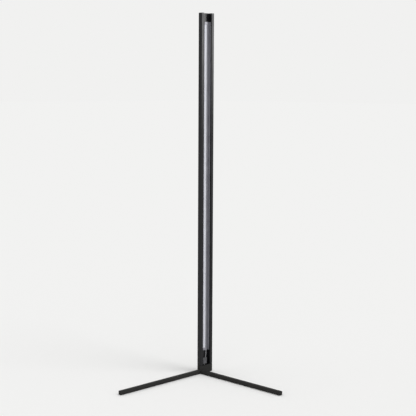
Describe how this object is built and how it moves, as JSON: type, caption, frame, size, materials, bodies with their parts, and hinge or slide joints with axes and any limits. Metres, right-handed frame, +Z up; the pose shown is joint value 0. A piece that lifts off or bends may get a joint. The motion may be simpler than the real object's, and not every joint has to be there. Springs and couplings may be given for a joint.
{
  "type": "led floor lamp",
  "caption": "Slim upright floor lamp: a U-channel post with an LED light bar set in its channel and a push-button dimmer at its foot, on an L-shaped base of square bars.",
  "frame": {"origin": "on the floor, under the middle of the bounding box", "axes": "+Z up along the post; the light channel opens towards -Y; the left leg runs along -X, the right leg along -Y"},
  "size_m": [0.476, 0.4276, 1.4],
  "materials": {
    "black_aluminium": "satin black coating",
    "black_steel": "satin black powder coat",
    "black_plastic": "fine matte",
    "grey_plastic": "fine matte",
    "grey_aluminium": "satin grey anodised",
    "opal_plastic": "satin opal",
    "white_plastic": "satin",
    "white_board": "satin",
    "phosphor": "gloss",
    "green_board": "satin",
    "thermal_tape": "matte",
    "black_screws": "black oxide",
    "steel": "ground",
    "plated_brass": "nickel plate",
    "cable_sleeve": "satin",
    "rubber": "matte"
  },
  "bodies": {
    "lamp": {"post_profile": "black_aluminium", "foot_block": "black_steel", "left_leg": "black_steel", "right_leg": "black_steel", "top_cap": "black_plastic", "switch_body": "black_plastic", "dc_inlet": "black_plastic", "control_base": "grey_plastic", "control_cover": "grey_plastic", "bar_carrier": "grey_aluminium", "diffuser": "opal_plastic", "bar_cap_upper": "white_plastic", "bar_cap_lower": "white_plastic", "led_board": "white_board", "led_phosphor": "phosphor", "control_board": "green_board", "bar_tape": "thermal_tape", "post_screws": "black_screws", "leg_screws": "black_screws", "control_screws": "black_screws", "leg_dowels": "steel", "inlet_contacts": "plated_brass", "inlet_nut": "plated_brass", "feed_lead": "cable_sleeve", "inlet_leads": "cable_sleeve", "leg_pads": "rubber", "base_pad": "rubber"},
    "button": {"push_button": "grey_plastic", "switch_stem": "black_plastic"}
  },
  "joints": [
    {"name": "button_press", "type": "slide", "parent": "lamp", "child": "button", "axis": [0, 1, 0], "range_m": [0, 0.0008], "stiffness_N_per_m": 1500, "springref_m": -0.0004}
  ]
}
